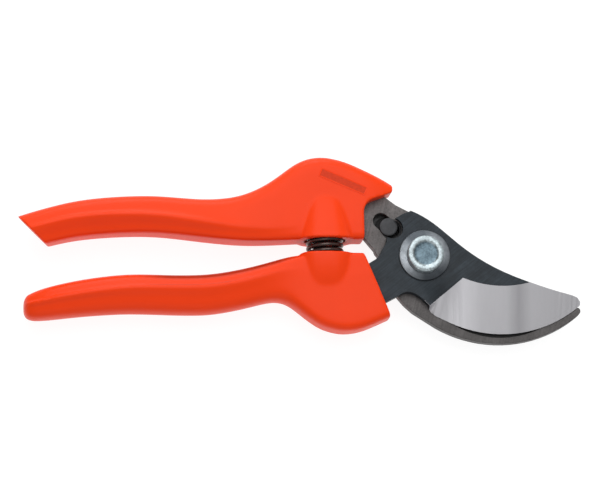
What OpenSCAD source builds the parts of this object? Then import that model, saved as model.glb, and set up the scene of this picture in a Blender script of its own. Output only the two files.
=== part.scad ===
// Bypass pruner: two moulded handles, a bevelled cutting blade that passes a
// hooked counter-blade, a bolted pivot, a return spring and a sliding catch.
// Origin: on the pivot axis, in the plane of the nut's outer face.
// +X towards the blade tip, +Y towards the upper handle, +Z towards the bolt head.

/* [Overall] */
// Distance from the pivot axis to the tip of the upper handle
upper_reach = 143.9; // [115:0.5:175]
// Distance from the pivot axis to the end of the lower handle
lower_reach = 142.4; // [115:0.5:175]
// Distance from the pivot axis to the tips of the blades, along X
blade_reach = 56; // [46:0.5:68]

/* [Handles] */
// Half of the handle's thickness beside the spring and the plates
head_half_t = 6.3; // [5.5:0.1:8]
// Half of the handle's thickness in the middle of the grip
grip_half_t = 8; // [6.5:0.1:10]
// Lowest edge of the upper handle beside the spring
upper_lip_y = 5.6; // [4:0.1:7]
// Highest edge of the lower handle beside the spring
lower_lip_y = 0.5; // [-1:0.1:1.5]
// Distance from the pivot axis to the lower handle's front face
lower_front_r = 20.1; // [18.5:0.1:22]
// Place of the upper handle's front face along X
upper_front_x = -21.5; // [-24:0.1:-21]
// Thinnest plastic around a tang or a spring pocket
handle_wall = 2.3; // [1.5:0.1:3.5]

/* [Plates] */
// Thickness of the cutting blade
blade_t = 3; // [2.4:0.1:4]
// Thickness of the counter-blade
counter_t = 3.5; // [2.5:0.1:4.5]
// Radius of the curved cutting edge
edge_radius = 43.7; // [38:0.1:60]
// How far the cutting edge passes the counter-blade's inner edge
bypass = 1.5; // [0.8:0.1:2.5]
// Thickness left at the cutting edge
edge_land = 0.35; // [0.2:0.05:0.6]
// Radius of the counter-blade's boss around the pivot
boss_r = 11; // [9.5:0.1:11.5]
// Depth of the sap groove in the counter-blade
groove_depth = 0.9; // [0.4:0.1:1.5]

/* [Pivot] */
// Diameter of the bolt's shank
bolt_d = 8; // [6:0.1:10]
// Diameter of the round bolt head
head_d = 13; // [11:0.1:16]
// Height of the bolt head
head_h = 3.4; // [2:0.1:5]
// Diameter of the washer under the head
washer_d = 18.2; // [16:0.1:20]
// Thickness of the washer under the head
washer_t = 1; // [0.6:0.1:2]
// Diameter of the washer on the back
back_washer_d = 14.6; // [13:0.1:16]
// Thickness of the washer on the back
back_washer_t = 1.2; // [0.8:0.1:2]
// Diameter of the split spring washer
split_washer_d = 12.6; // [11:0.1:15]
// Thickness of the split spring washer
split_washer_t = 1.6; // [1:0.1:2.2]
// Width of the nut across its flats
nut_af = 13; // [11:0.1:16]
// Height of the nut
nut_h = 4.5; // [3.5:0.1:6.5]
// Radial clearance of the turning blade on the bolt
run_clear = 0.05; // [0.02:0.01:0.1]
// Gap between faces that slide on each other
face_gap = 0.05; // [0.02:0.01:0.1]

/* [Spring] */
// Outer diameter of the return spring
spring_od = 13.4; // [11:0.1:16.5]
// Diameter of the spring wire
wire_d = 1.5; // [1.2:0.1:1.8]
// Number of turns
spring_turns = 9; // [6:0.5:10]
// Place of the spring's axis along X
spring_x = -35.1; // [-38:0.1:-34]
// Seat of the spring in the upper handle
seat_upper_y = 12.4; // [11.5:0.1:13]
// Seat of the spring in the lower handle
seat_lower_y = -6.2; // [-7:0.1:-5.5]
// Radial room around and inside the spring
spring_room = 0.5; // [0.3:0.1:1]

/* [Catch] */
// Diameter of the catch pin's head
pin_head_d = 6.5; // [5.5:0.1:7.5]
// Diameter of the pin where it runs in the slot
pin_d = 5; // [4:0.1:6]
// Height of the pin's head
pin_head_h = 0.8; // [0.6:0.1:1]
// Distance from the pivot axis to the pin at rest
pin_r = 16.35; // [16:0.05:17]
// Direction of the slot, from the pivot
slot_angle = 138; // [135:0.5:141]
// Travel of the catch inwards, to fully locked
travel_in = 1.5; // [0.5:0.1:1.6]
// Travel of the catch outwards, to unlocked
travel_out = 3.5; // [2.5:0.1:3.6]
// Diameter of the thumb button on the back
button_d = 12.6; // [11:0.1:13]
// Height of the thumb button
button_h = 5.2; // [4:0.1:6.5]

/* [Hidden] */
$fn = 64;
eps = 0.01;

// Stack of plates and hardware, from the nut's face upwards
z_nut = 0;
z_split = z_nut + nut_h;
z_back_washer = z_split + split_washer_t;
z_counter = z_back_washer + back_washer_t;
z_mid = z_counter + counter_t;
z_blade = z_mid + face_gap;
z_blade_top = z_blade + blade_t;
z_washer = z_blade_top + face_gap;
z_head = z_washer + washer_t;

bolt_r = bolt_d / 2;
thread_r = bolt_r - 0.2;

// Spring, pockets and pegs
coil_r = (spring_od - wire_d) / 2;
pocket_r = spring_od / 2 + spring_room;
peg_r = spring_od / 2 - wire_d - spring_room;
barrel_r = pocket_r + handle_wall + 0.9;
peg_h = 5.6;

// Catch
slot_clear = 0.3;
slot_r = pin_d / 2 + slot_clear;
notch_r = pin_head_d / 2 + 0.45;
pin_pos = pin_r * [cos(slot_angle), sin(slot_angle)];
slot_in = (pin_r - travel_in) * [cos(slot_angle), sin(slot_angle)];
slot_out = (pin_r + travel_out) * [cos(slot_angle), sin(slot_angle)];
relief_h = pin_head_h + 0.25;
relief_r = pin_r - travel_in - pin_head_d / 2 - slot_clear;
open_angle = 38;
relief_half = asin((pin_head_d / 2 + slot_clear) / (pin_r - travel_in));
relief_start = slot_angle - open_angle - relief_half;
relief_span = open_angle + 2 * relief_half;
catch_washer_t = 0.5;
catch_washer_r = 4.4;
tail_r = pin_d / 2 - 0.6;

// Jaw: the tips and the heel of the cutting edge, and the arcs through them
tip = [blade_reach - 1, -18.1];
heel = [8, -23.3];
anvil_tip = [blade_reach - 0.7, -17.9];
anvil_heel = [10, -23.3 + bypass];
anvil_radius = edge_radius + 1.3;
hook_root = [3.9, -25.1];
hook_tip = [blade_reach - 0.4, -20.5];
hook_radius = edge_radius + 1.2;
lock_arc_r = 16.8;

// The lower handle's front face: the direction of its normal, from the pivot
front_angle = 202;
// The furthest point of the front face, below the pivot
front_n = [cos(front_angle), sin(front_angle)];
front_t = [-front_n[1], front_n[0]];

// Tang of each plate: the corner that clears the spring pocket
upper_clear_y = seat_upper_y + handle_wall;
lower_clear_y = seat_lower_y - handle_wall;
pocket_right_x = spring_x + pocket_r + handle_wall;
pocket_left_x = spring_x - pocket_r - handle_wall;

// Handle sections: [place, lowest, highest, half thickness, squareness].
// A place above 0 is a share of the grip, from its start to the handle's end.
grip_start = -55;
upper_sections = [
    [-10.6, upper_lip_y, 24.5, head_half_t - 1.6, 3],
    [-15, upper_lip_y, 27.4, head_half_t - 0.7, 3.4],
    [-21, upper_lip_y, 30.4, head_half_t, 4],
    [-27, upper_lip_y, 33.4, head_half_t, 4.4],
    [-32, upper_lip_y, 35.4, head_half_t, 4.4],
    [-36, upper_lip_y, 36, head_half_t, 4.4],
    [-40.5, upper_lip_y, 35.2, head_half_t, 4.4],
    [-46, upper_lip_y - 0.2, 32.4, head_half_t + 0.1, 4],
    [grip_start, upper_lip_y - 0.6, 26, head_half_t + 0.6, 3.4],
    [0.12, upper_lip_y - 0.6, 21.3, head_half_t + 1.1, 3],
    [0.27, upper_lip_y + 0.4, 20.1, grip_half_t, 2.7],
    [0.46, upper_lip_y + 1.9, 21.2, grip_half_t, 2.6],
    [0.66, upper_lip_y + 1.2, 20.4, grip_half_t, 2.6],
    [0.82, upper_lip_y - 0.5, 18.2, grip_half_t - 0.1, 2.6],
    [1, 1, 13.6, grip_half_t - 0.4, 2.8],
    [1.05, -0.4, 11.6, grip_half_t - 0.6, 2.8]];
lower_sections = [
    [-11, -21.7, lower_lip_y, head_half_t - 0.6, 3],
    [-15, -23.4, lower_lip_y, head_half_t - 0.2, 3.6],
    [-19, -25.1, lower_lip_y, head_half_t, 4],
    [-23.4, -26.7, lower_lip_y, head_half_t, 4.4],
    [-28, -27.4, lower_lip_y, head_half_t, 4.4],
    [-32.5, -27, lower_lip_y, head_half_t, 4.4],
    [-38, -25.1, lower_lip_y, head_half_t, 4.2],
    [-43.5, -21.6, lower_lip_y - 0.6, head_half_t + 0.1, 3.8],
    [-49, -17.7, lower_lip_y - 1.4, head_half_t + 0.4, 3.4],
    [grip_start, -16.9, lower_lip_y - 3, head_half_t + 0.7, 3.2],
    [0.11, -18.9, lower_lip_y - 5.6, grip_half_t - 0.5, 2.8],
    [0.25, -21.1, lower_lip_y - 7.8, grip_half_t, 2.6],
    [0.4, -21.1, lower_lip_y - 8.1, grip_half_t, 2.6],
    [0.58, -20.8, lower_lip_y - 7.8, grip_half_t, 2.6],
    [0.76, -21.7, lower_lip_y - 9.6, grip_half_t, 2.6],
    [0.9, -22.8, lower_lip_y - 12.2, grip_half_t - 0.3, 2.6],
    [0.965, -23, lower_lip_y - 14, grip_half_t - 1.4, 2.5],
    [0.99, -22, lower_lip_y - 15.2, grip_half_t - 2.9, 2.4],
    [1, -20.6, lower_lip_y - 16.8, grip_half_t - 5, 2.2]];

// --- Curves ---------------------------------------------------------------

// n + 1 points along an arc of radius r about c
function arc(c, r, a0, a1, n = 12) =
    [for (i = [0:n]) let (a = a0 + (a1 - a0) * i / n) c + r * [cos(a), sin(a)]];

// Centre of the circle of radius r through p and q, to the left of p -> q
function centre_of(p, q, r) =
    let (half = norm(q - p) / 2, u = (q - p) / norm(q - p))
    (p + q) / 2 + sqrt(r * r - half * half) * [-u[1], u[0]];

// Direction from c to p, in degrees
function angle_of(p, c = [0, 0]) = atan2(p[1] - c[1], p[0] - c[0]);

// Arc of radius r from p to q, bulging to the right of p -> q
function arc_between(p, q, r, n = 16) =
    let (c = centre_of(p, q, r), a0 = angle_of(p, c), a1 = angle_of(q, c))
    arc(c, r, a0, a1 < a0 ? a1 + 360 : a1, n);

// A list of points from its last to its first
function reversed(points) = [for (i = [len(points) - 1:-1:0]) points[i]];

// A list of points without its first and its last
function without_ends(points) = [for (i = [1:len(points) - 2]) points[i]];

// n + 1 points along a cubic curve with the handles b and c
function cubic(a, b, c, d, n = 10) = [for (i = [0:n]) let (t = i / n, s = 1 - t)
    s * s * s * a + 3 * s * s * t * b + 3 * s * t * t * c + t * t * t * d];

// The point between b and c on a smooth curve through a, b, c and d
function between(a, b, c, d, t) = (2 * b + (c - a) * t + (2 * a - 5 * b + 4 * c - d) * t * t
    + (3 * b - a - 3 * c + d) * t * t * t) / 2;

// A list of rows, with k - 1 smooth rows put in between each two
function smoothed(rows, k) = let (last = len(rows) - 1) concat(
    [for (i = [0:last - 1]) for (j = [0:k - 1])
        between(rows[max(i - 1, 0)], rows[i], rows[i + 1], rows[min(i + 2, last)], j / k)],
    [rows[last]]);

// --- Handles --------------------------------------------------------------

// Puts the sections that are shares of the grip at their places along X
function placed(sections, reach) = [for (s = sections)
    [s[0] > 0 ? grip_start - s[0] * (reach + grip_start) : s[0], s[1], s[2], s[3], s[4]]];

function signed_power(v, e) = sign(v) * pow(abs(v), e);

// One ring of the handle: a rounded rectangle in the plane X = s[0]
function ring(s, n) = [for (i = [0:n - 1]) let (a = 360 * (i + 0.5) / n)
    [s[0],
     (s[1] + s[2]) / 2 + (s[2] - s[1]) / 2 * signed_power(cos(a), 2 / s[4]),
     z_mid + s[3] * signed_power(sin(a), 2 / s[4])]];

module handle_body(sections, reach, n = 28) {
    rings = smoothed(placed(sections, reach), 3);
    last = len(rings) - 1;
    polyhedron(
        points = [for (s = rings) each ring(s, n)],
        faces = concat(
            [[for (i = [0:n - 1]) n - 1 - i]],
            [for (k = [0:last - 1]) for (i = [0:n - 1]) let (j = (i + 1) % n)
                each [[k * n + i, k * n + j, (k + 1) * n + i],
                      [k * n + j, (k + 1) * n + j, (k + 1) * n + i]]],
            [[for (i = [0:n - 1]) last * n + i]]));
}

// Turns what is drawn around +Z so that it stands around the spring's axis,
// from the height y in the direction of dir
module along_spring(y, dir) {
    translate([spring_x, y, z_mid]) rotate([-90 * dir, 0, 0]) children();
}

// The swelling around the spring pocket, which fades into the handle's faces
module barrel(y, height, dir) {
    along_spring(y, dir) rotate_extrude()
        polygon(concat([[0, 0]],
            [for (a = [0:6:90]) [barrel_r * pow(cos(a), 0.85), height * sin(a)]]));
}

module spring_pocket(lip, seat, dir) {
    along_spring(lip - dir * 3, dir) cylinder(r = pocket_r, h = abs(seat - lip) + 3);
}

module spring_peg(seat, dir) {
    along_spring(seat + dir * eps, -dir) rotate_extrude()
        polygon([[0, 0], [peg_r, 0], [peg_r, peg_h - 1], [peg_r - 0.5, peg_h - 0.2],
            [peg_r - 1, peg_h], [0, peg_h]]);
}

// Everything in front of the upper handle's front face and under its nose
module upper_front_cut() {
    r = 5.4;
    c = [upper_front_x + r, 15.2];
    translate([0, 0, -20]) linear_extrude(height = 80)
        polygon(concat([[0, -30], [upper_front_x, -30]], arc(c, r, 180, 108, 8),
            [[-11.1, 22.9], [-9, 23.4], [0, 23.6]]));
}

// The slanted end of the upper handle
module upper_end_cut() {
    slant = [0.67, -0.74];
    corner = [-upper_reach, 13];
    past = [-30, -30];
    translate([0, 0, -20]) linear_extrude(height = 80)
        polygon([corner - 20 * slant, corner + 40 * slant, corner + 40 * slant + past,
            corner - 20 * slant + past]);
}

module upper_handle() {
    color("orangered") {
        difference() {
            union() {
                handle_body(upper_sections, upper_reach);
                barrel(upper_lip_y, 18, 1);
            }
            upper_front_cut();
            upper_end_cut();
            spring_pocket(upper_lip_y, seat_upper_y, 1);
            counter_plate();
        }
        spring_peg(seat_upper_y, 1);
    }
}

// Everything in front of the lower handle's front face
module lower_front_cut() {
    a = lower_front_r * front_n + 25 * front_t;
    b = lower_front_r * front_n - 13 * front_t;
    translate([0, 0, -20]) linear_extrude(height = 80)
        polygon([b, a, a + [0, -20], [20, -40], [20, 20]]);
}

module lower_handle() {
    color("orangered") {
        difference() {
            union() {
                handle_body(lower_sections, lower_reach);
                barrel(lower_lip_y, 15, -1);
            }
            lower_front_cut();
            spring_pocket(lower_lip_y, seat_lower_y, -1);
            blade_plate();
        }
        spring_peg(seat_lower_y, -1);
    }
}

// --- Plates ---------------------------------------------------------------

// Where the counter-blade's boss meets the throat of the jaw
boss_start = -48;

// Outline of the counter-blade and of its tang inside the upper handle
function counter_outline() = concat(
    arc([0, 0], boss_r, boss_start, 62, 12),
    [[-4.5, 16.5], [-9.3, 19], [-13, 21.8]],
    [[-17, 24.2], [-24, 27.4], [-33, 31], [-39, 30.4], [-50, 23], [-60, 17.2],
     [-77, 16], [-80.5, 13.6], [-80.5, 11.6], [-77, 9.4], [-61, 9],
     [-50, 12], [pocket_left_x, upper_clear_y], [pocket_right_x, upper_clear_y]],
    [[upper_front_x - 1.6, 9.6], [-17.4, 2.6], [-17.1, 1.6], [-16.1, 0.3]],
    arc([0, 0], 16.3, 186, 226, 6),
    [[-9.6, -14.2], [-7.2, -17.1], [-4.4, -19.7]],
    arc_between(hook_root, hook_tip, hook_radius, 20),
    [[blade_reach + 0.2, -19.2]],
    reversed(arc_between(anvil_heel, anvil_tip, anvil_radius, 20)),
    without_ends(cubic(anvil_heel, anvil_heel + [-4, 2.6], [4.2, -13],
        boss_r * [cos(boss_start), sin(boss_start)], 8)));

module counter_plate() {
    translate([0, 0, z_counter]) linear_extrude(height = counter_t) polygon(counter_outline());
}

// The sap groove: a crescent just outside the cutting edge's arc
module sap_groove() {
    a = heel + [0.4, 0.2];
    b = [blade_reach - 13.3, -24.8];
    translate([0, 0, z_mid - groove_depth]) linear_extrude(height = groove_depth + 1)
        polygon(concat(arc_between(a, b, edge_radius + 3, 14),
            without_ends(reversed(arc_between(a, b, edge_radius - 12, 14)))));
}

// The slot that the catch pin slides in
module catch_slot() {
    translate([0, 0, z_counter - 1]) linear_extrude(height = counter_t + 2)
        polygon(concat(arc(slot_out, slot_r, slot_angle - 90, slot_angle + 90, 20),
            arc(slot_in, slot_r, slot_angle + 90, slot_angle + 270, 20)));
}

module counter_blade() {
    color("dimgray") difference() {
        counter_plate();
        translate([0, 0, z_counter - 1]) cylinder(r = bolt_r + run_clear, h = counter_t + 2);
        catch_slot();
        sap_groove();
    }
}

// Outline of the cutting blade and of its tang inside the lower handle
function blade_outline() = concat(
    reversed(cubic([-4.5, 16.4], [11.6, 10.1], [11.3, -4.1], [blade_reach - 3.1, -13.9], 20)),
    arc([0, 0], lock_arc_r, 105.6, 137, 8),
    [[-13.4, 4.9], [-15, 2.2], [-16, 0], [-17.6, -1.4], [-19.9, -2.8]],
    [[pocket_right_x, lower_clear_y], [pocket_left_x, lower_clear_y], [-58, -8.4], [-76, -11.2],
     [-79.5, -13.4], [-79.5, -15.6], [-76, -17.6], [-58, -14.4], [-49, -14.6],
     [-42, -18.6], [-34, -23.2], [-26, -24], [-18, -21]],
    [[-13.9, -16.7]],
    cubic([-9.7, -14.5], [-6.6, -12], [-3.4, -12.6], [1.4, -18], 8),
    [[1.4, -19.5], [4.2, -21.5]],
    arc_between(heel, tip, edge_radius, 24),
    [[blade_reach - 0.2, -17.4], [blade_reach - 0.1, -16.2], [blade_reach - 1.2, -14.6]]);

module blade_plate() {
    translate([0, 0, z_blade]) linear_extrude(height = blade_t) polygon(blade_outline());
}

// What is ground away in front of the sloping bevel. Each rib runs from a
// point on the cutting edge to a point on the bevel's upper border.
module bevel_cut() {
    edge = concat([[1.4, -19.3], [3, -20.7], [5.4, -22.1]],
        arc_between(heel, tip + [1.2, 0.5], edge_radius, 21));
    border_c = [27.9, 25.2];
    border_r = 36.1;
    corner = [13.6, -8];
    start = [1.4, -18.2];
    side = [for (i = [0:6]) start + (corner - start) * i / 6];
    border = concat(side, arc(border_c, border_r, angle_of([16, -8.9], border_c), -38, 17));
    n = len(edge);
    past = 0.4;
    slope_h = blade_t - edge_land;
    ribs = [for (i = [0:n - 1]) let (e = edge[i], b = border[i], out = e + (e - b) * past)
        [[out[0], out[1], z_blade + edge_land - slope_h * past],
         [b[0], b[1], z_blade_top],
         [b[0], b[1], z_blade_top + 2],
         [out[0], out[1], z_blade_top + 2]]];
    polyhedron(
        points = [for (rib = ribs) each rib],
        faces = concat([[0, 1, 2, 3]],
            [for (k = [0:n - 2]) for (i = [0:3]) let (j = (i + 1) % 4)
                each [[4 * k + j, 4 * k + i, 4 * k + 4 + j], [4 * k + 4 + j, 4 * k + i, 4 * k + 4 + i]]],
            [[4 * n - 1, 4 * n - 2, 4 * n - 3, 4 * n - 4]]));
}

// Room behind the blade for the head of the catch pin, wherever the blade is
module catch_relief() {
    translate([0, 0, z_blade - 1]) rotate([0, 0, relief_start]) rotate_extrude(angle = relief_span)
        translate([relief_r, 0]) square([26 - relief_r, relief_h + 1]);
}

module cutting_blade() {
    color("darkslategray") difference() {
        blade_plate();
        translate([0, 0, z_blade - 1]) cylinder(r = bolt_r + run_clear, h = blade_t + 2);
        translate([slot_in[0], slot_in[1], z_blade - 1]) cylinder(r = notch_r, h = blade_t + 2);
        bevel_cut();
        catch_relief();
    }
}

// --- Pivot ----------------------------------------------------------------

// A flat ring with its lower face at z
module washer(inner_r, outer_r, t, z) {
    translate([0, 0, z]) difference() {
        cylinder(r = outer_r, h = t);
        translate([0, 0, -1]) cylinder(r = inner_r, h = t + 2);
    }
}

module pivot_bolt() {
    head_r = head_d / 2;
    dish_r = head_r * 0.62;
    dish_h = 0.6;
    z_thread = z_back_washer;
    z_top = z_head + head_h;
    color("silver") rotate_extrude() polygon([[0, z_nut], [thread_r - 0.6, z_nut],
        [thread_r, z_nut + 0.6], [thread_r, z_thread], [bolt_r, z_thread], [bolt_r, z_head],
        [head_r, z_head], [head_r, z_top - 0.8], [head_r - 0.25, z_top - 0.25], [head_r - 0.8, z_top],
        [dish_r + 0.4, z_top], [dish_r - 0.4, z_top - dish_h * 0.6], [dish_r * 0.5, z_top - dish_h],
        [0, z_top - dish_h]]);
}

module head_washer() {
    color("lightslategray") washer(bolt_r + run_clear, washer_d / 2, washer_t, z_washer);
}

module back_washer() {
    color("silver") washer(bolt_r + run_clear, back_washer_d / 2, back_washer_t, z_back_washer);
}

module split_washer() {
    gap = 1.2;
    color("silver") difference() {
        washer(thread_r + 0.3, split_washer_d / 2, split_washer_t, z_split);
        rotate([0, 0, -40]) translate([0, -gap / 2, z_split - 1])
            cube([split_washer_d, gap, split_washer_t + 2]);
    }
}

module pivot_nut() {
    color("silver") translate([0, 0, z_nut]) difference() {
        intersection() {
            cylinder(d = nut_af / cos(30), h = nut_h, $fn = 6);
            rotate_extrude() polygon([[0, 0], [nut_af / 2 - 0.2, 0], [nut_af / 2 + 1.2, 0.9],
                [nut_af / 2 + 1.2, nut_h - 0.9], [nut_af / 2 - 0.2, nut_h], [0, nut_h]]);
        }
        translate([0, 0, -1]) cylinder(r = thread_r, h = nut_h + 2);
    }
}

// --- Spring ---------------------------------------------------------------

module return_spring() {
    sides = 8;
    per_turn = 18;
    n = round(spring_turns * per_turn);
    y0 = seat_lower_y + wire_d / 2;
    rise = seat_upper_y - seat_lower_y - wire_d;
    wire_r = wire_d / 2;
    points = [for (k = [0:n]) let (a = 360 * k / per_turn) for (i = [0:sides - 1])
        let (b = 360 * i / sides, r = coil_r + wire_r * cos(b))
        [spring_x + r * cos(a), y0 + rise * k / n + wire_r * sin(b), z_mid - r * sin(a)]];
    color("black") polyhedron(points = points, faces = concat(
        [[for (i = [sides - 1:-1:0]) i]],
        [for (k = [0:n - 1]) for (i = [0:sides - 1]) let (j = (i + 1) % sides)
            each [[k * sides + i, k * sides + j, (k + 1) * sides + j],
                  [k * sides + i, (k + 1) * sides + j, (k + 1) * sides + i]]],
        [[for (i = [0:sides - 1]) n * sides + i]]));
}

// --- Catch ----------------------------------------------------------------

// Places what is drawn at the catch pin, with its X along the slot
module at_pin(z) {
    translate([pin_pos[0], pin_pos[1], z]) rotate([0, 0, slot_angle]) children();
}

z_button_top = z_counter - face_gap;
z_button = z_button_top - button_h;

module catch_pin() {
    tail_h = button_h - 1.6;
    color("darkslategray") at_pin(0) rotate_extrude() polygon([[0, z_button_top - tail_h],
        [tail_r, z_button_top - tail_h], [tail_r, z_button_top], [pin_d / 2, z_button_top],
        [pin_d / 2, z_mid + face_gap], [pin_head_d / 2, z_mid + face_gap],
        [pin_head_d / 2, z_mid + face_gap + pin_head_h * 0.75],
        [pin_head_d / 2 - 0.2, z_mid + face_gap + pin_head_h],
        [0, z_mid + face_gap + pin_head_h]]);
}

module catch_button() {
    rib_n = 3;
    rib_pitch = 2.6;
    base_h = button_h - 1.2;
    button_r = button_d / 2;
    color([0.1, 0.1, 0.1]) difference() {
        union() {
            at_pin(z_button_top - base_h) cylinder(r = button_r, h = base_h);
            for (i = [0:rib_n - 1]) let (x = (i - (rib_n - 1) / 2) * rib_pitch)
                at_pin(z_button) translate([x - 0.6, -button_r * 0.72, 0])
                    cube([1.2, button_r * 1.44, 1.2 + eps]);
        }
        at_pin(z_button_top - (button_h - 1.6)) cylinder(r = tail_r, h = button_h);
        at_pin(z_button_top - catch_washer_t) cylinder(r = catch_washer_r + 0.1, h = 2);
    }
}

module catch_washer() {
    color("silver") at_pin(z_button_top - catch_washer_t) difference() {
        cylinder(r = catch_washer_r, h = catch_washer_t);
        translate([0, 0, -1]) cylinder(r = tail_r + 0.1, h = 3);
    }
}

upper_handle();
lower_handle();
counter_blade();
cutting_blade();
pivot_bolt();
head_washer();
back_washer();
split_washer();
pivot_nut();
return_spring();
catch_pin();
catch_button();
catch_washer();
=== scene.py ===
"""Bypass pruner with moulded handles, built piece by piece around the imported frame."""

import math
from functools import cache

import bmesh
import bpy
from mathutils import Matrix, Vector


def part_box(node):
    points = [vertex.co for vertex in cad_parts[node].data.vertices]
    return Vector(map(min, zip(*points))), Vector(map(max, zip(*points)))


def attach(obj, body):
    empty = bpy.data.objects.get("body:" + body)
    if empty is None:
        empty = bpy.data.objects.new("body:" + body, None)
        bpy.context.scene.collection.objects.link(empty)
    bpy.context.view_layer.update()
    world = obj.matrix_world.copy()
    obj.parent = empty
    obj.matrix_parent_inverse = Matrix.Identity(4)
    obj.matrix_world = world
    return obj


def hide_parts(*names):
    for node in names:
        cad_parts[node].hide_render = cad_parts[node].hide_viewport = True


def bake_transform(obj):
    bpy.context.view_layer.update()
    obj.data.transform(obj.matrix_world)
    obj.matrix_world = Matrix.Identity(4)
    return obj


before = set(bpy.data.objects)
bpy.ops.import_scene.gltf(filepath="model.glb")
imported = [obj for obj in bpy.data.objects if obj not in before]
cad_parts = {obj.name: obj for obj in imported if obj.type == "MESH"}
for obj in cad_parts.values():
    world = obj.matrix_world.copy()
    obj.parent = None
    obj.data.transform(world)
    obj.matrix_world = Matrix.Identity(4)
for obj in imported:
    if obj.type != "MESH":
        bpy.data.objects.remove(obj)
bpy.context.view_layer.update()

bl_info = {
    "name": "Bypass Pruner",
    "version": (1, 0, 0),
    "blender": (4, 5, 0),
    "location": "3D View > Sidebar > Pruner",
    "description": "Models the handles, blades, pivot, spring and catch of a bypass pruner",
    "category": "Add Mesh",
}

MM = 0.001
X, Y, Z = range(3)


def lowest(node, axis):
    """Lowest place of a CAD node along an axis."""
    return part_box(node)[0][axis]


def highest(node, axis):
    """Highest place of a CAD node along an axis."""
    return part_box(node)[1][axis]


# Levels and places that the pieces share, from the frame
MID_Z = highest("counter_blade", Z)
SPRING_LOW, SPRING_HIGH = (Vector(c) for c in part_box("return_spring"))
SPRING_X = (SPRING_LOW.x + SPRING_HIGH.x) / 2
SPRING_Z = (SPRING_LOW.z + SPRING_HIGH.z) / 2
SPRING_OUTER = (SPRING_HIGH.x - SPRING_LOW.x) / 2
PIN_LOW, PIN_HIGH = (Vector(c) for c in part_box("catch_pin"))
PIN_X, PIN_Y = (PIN_LOW.x + PIN_HIGH.x) / 2, (PIN_LOW.y + PIN_HIGH.y) / 2

# Sizes that more than one piece uses
WIRE_RADIUS = 0.75 * MM
WELD = 0.002 * MM
CUT_LOW, CUT_HIGH = -20 * MM, 50 * MM


# --- Sizes and colours that a user would change ---------------


def colour_setting(name, description, default):
    """A colour in the sidebar."""
    return bpy.props.FloatVectorProperty(name=name, description=description, subtype="COLOR",
                                         size=3, min=0, max=1, default=default)


def length_setting(name, description, default, low, high):
    """A length in the sidebar, with its range."""
    return bpy.props.FloatProperty(name=name, description=description, unit="LENGTH",
                                   default=default, min=low, max=high)


def angle_setting(name, description, degrees):
    """An angle in the sidebar."""
    return bpy.props.FloatProperty(name=name, description=description, subtype="ANGLE",
                                   default=math.radians(degrees))


class PrunerHandleSettings(bpy.types.PropertyGroup):
    """Sizes and colours of the two moulded handles."""

    plastic: colour_setting("Plastic", "Colour of the moulded handles", (0.88, 0.050, 0.005))
    pocket_room: length_setting("Pocket Room", "Room around the spring in its pockets",
                                0.5 * MM, 0.1 * MM, 1 * MM)
    grain: length_setting("Mesh Grain", "Size of the faces that the handles are made of",
                          0.42 * MM, 0.3 * MM, 1 * MM)


class PrunerSteelSettings(bpy.types.PropertyGroup):
    """Colours of the plates and the bolt, and the size of the worn edges."""

    coating: colour_setting("Blade Coating", "Colour of the cutting blade's dark coating",
                            (0.017, 0.023, 0.029))
    ground: colour_setting("Ground Steel", "Colour of the ground bevel", (0.46, 0.455, 0.475))
    plate: colour_setting("Plate", "Colour of the counter-blade", (0.100, 0.093, 0.092))
    zinc: colour_setting("Zinc", "Colour of the plated bolt and nut", (0.58, 0.67, 0.70))
    edge_round: length_setting("Edge Rounding", "Width of the worn edges of the plates",
                               0.22 * MM, 0.05 * MM, 0.5 * MM)


class PrunerStageSettings(bpy.types.PropertyGroup):
    """Camera and floor."""

    distance: length_setting("Camera Distance", "Distance from the camera to the tool",
                             2.0, 0.3, 4)
    azimuth: angle_setting("Azimuth", "Lean of the camera from overhead towards the jaws", -7.5)
    elevation: angle_setting("Elevation", "Lean of the camera from overhead towards the upper "
                             "handle's side", -12.103)
    roll: angle_setting("Roll", "Turn of the camera about its own axis", -1.469)
    floor: colour_setting("Floor", "Colour of the floor", (0.18, 0.18, 0.18))


SETTINGS = {
    "pruner_handles": PrunerHandleSettings,
    "pruner_steel": PrunerSteelSettings,
    "pruner_stage": PrunerStageSettings,
}


def steel():
    """The sidebar's steel settings."""
    return bpy.context.scene.pruner_steel


def handles():
    """The sidebar's handle settings."""
    return bpy.context.scene.pruner_handles


# --- Modelling helpers ----------------------------------------


def clear_selection():
    """Object mode with nothing selected, before a primitive is added."""
    if bpy.context.object and bpy.context.object.mode != "OBJECT":
        leave_edit()
    bpy.ops.object.select_all(action="DESELECT")


def select_only(piece):
    """Object mode with the piece active and nothing else selected."""
    clear_selection()
    bpy.context.view_layer.objects.active = piece
    piece.select_set(True)


def leave_edit():
    """Back to object mode."""
    bpy.ops.object.mode_set(mode="OBJECT")


def new_piece(primitive, name, **where):
    """Adds a primitive with nothing else selected, names it and opens it for editing."""
    clear_selection()
    primitive(**where)
    piece = bpy.context.object
    piece.name = piece.data.name = name
    bpy.ops.object.mode_set(mode="EDIT")
    return piece


def edit(piece):
    """Opens a piece for editing with nothing selected."""
    select_only(piece)
    bpy.ops.object.mode_set(mode="EDIT")
    bpy.ops.mesh.select_all(action="DESELECT")


def done(piece):
    """Leaves edit mode and puts the piece's place into its mesh."""
    select_only(piece)
    bpy.ops.object.transform_apply(location=True, rotation=True, scale=True)
    return piece


def select_whole():
    """Selects the whole of the open piece."""
    bpy.ops.mesh.select_all(action="SELECT")


def draw_out(move):
    """Extrudes what is selected by a move."""
    bpy.ops.mesh.extrude_region_move(TRANSFORM_OT_translate={"value": move})


def face_outwards():
    """Turns every face of the open piece outwards."""
    select_whole()
    bpy.ops.mesh.normals_make_consistent(inside=False)


def always(item):
    """The test that every vertex or edge passes."""
    return True


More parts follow.
